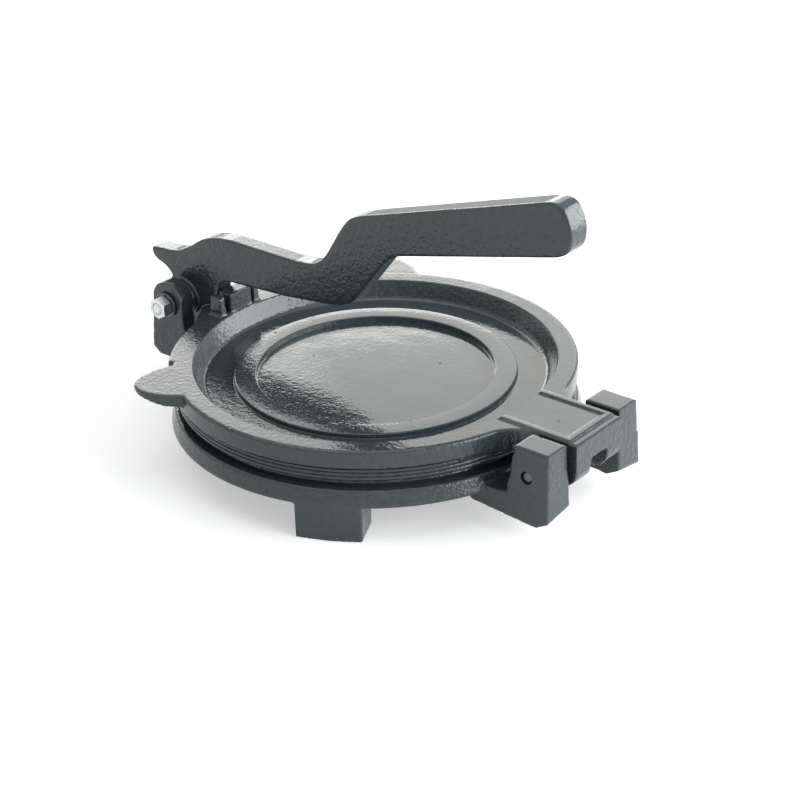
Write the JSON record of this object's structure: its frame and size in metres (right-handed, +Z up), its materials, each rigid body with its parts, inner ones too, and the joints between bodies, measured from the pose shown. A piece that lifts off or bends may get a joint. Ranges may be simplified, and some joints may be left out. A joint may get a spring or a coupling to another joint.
{
  "type": "poori press",
  "caption": "Heavy cast-iron hand press that flattens dough balls into poori or small tortilla discs, with a hinged dished upper plate, lifting wings and a long cranked lever.",
  "frame": {"origin": "on the table under the middle of the whole press", "axes": "+Z up, +X from the lever's pivot to the hinge of the plates, +Y to the side with the bolt's head"},
  "size_m": [0.312, 0.225, 0.1703],
  "materials": {
    "cast_iron": "black semi-gloss over a sand-cast skin",
    "zinc_steel": "bright zinc-plated steel",
    "plain_steel": "plain darkened steel"
  },
  "bodies": {
    "base": {"base_casting": "cast_iron", "hinge_pin": "plain_steel", "lever_bolt": "zinc_steel", "washer_head_side": "plain_steel", "washer_nut_side": "plain_steel", "lever_nut": "zinc_steel"},
    "plate": {"upper_plate": "cast_iron"},
    "lever": {"lever": "cast_iron"}
  },
  "joints": [
    {"name": "lever_swing", "type": "hinge", "parent": "base", "child": "lever", "pos_m": [-0.1305, 0, 0.0507], "axis": [0, -1, 0], "range_deg": [0, 165]},
    {"name": "plate_hinge", "type": "hinge", "parent": "base", "child": "plate", "pos_m": [0.1395, 0, 0.0365], "axis": [0, 1, 0], "range_deg": [0, 37.5]}
  ],
  "couplings": [
    {"joint": "plate_hinge", "follows": "lever_swing", "ratio": 0.225}
  ]
}
